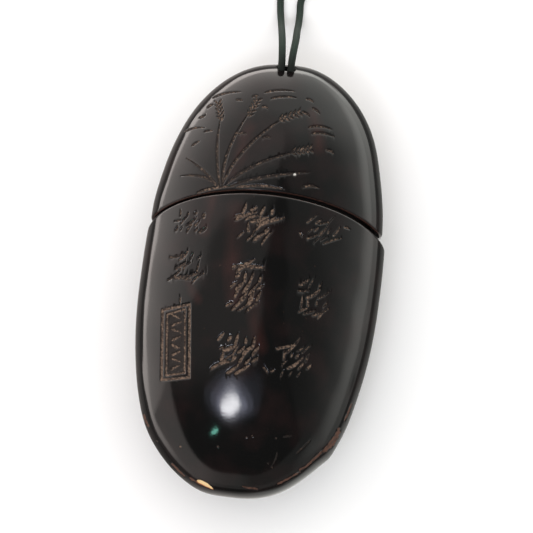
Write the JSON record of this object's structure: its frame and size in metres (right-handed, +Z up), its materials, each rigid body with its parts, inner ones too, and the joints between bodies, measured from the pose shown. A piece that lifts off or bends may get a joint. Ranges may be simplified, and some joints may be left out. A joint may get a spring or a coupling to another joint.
{
  "type": "seal case",
  "caption": "Oval domed seal case of dark lacquered wood: hollow body with a collar, lift-off cap with an arched seam, and a green silk cord loop.",
  "frame": {"origin": "on the surface that the case lies on, under the middle of the case without its cord", "axes": "+Z up out of the domed front face, +Y from the foot towards the cap and its cord, +X to the right seen from the front"},
  "size_m": [0.0492, 0.1179, 0.03],
  "materials": {
    "lacquered_wood": "black-brown lacquer, polished, worn red at the edges, with buff-filled carving",
    "silk_cord": "dark green silk, twisted"
  },
  "bodies": {
    "root": {"body": "lacquered_wood", "cap": "lacquered_wood", "cord": "silk_cord"}
  },
  "joints": []
}
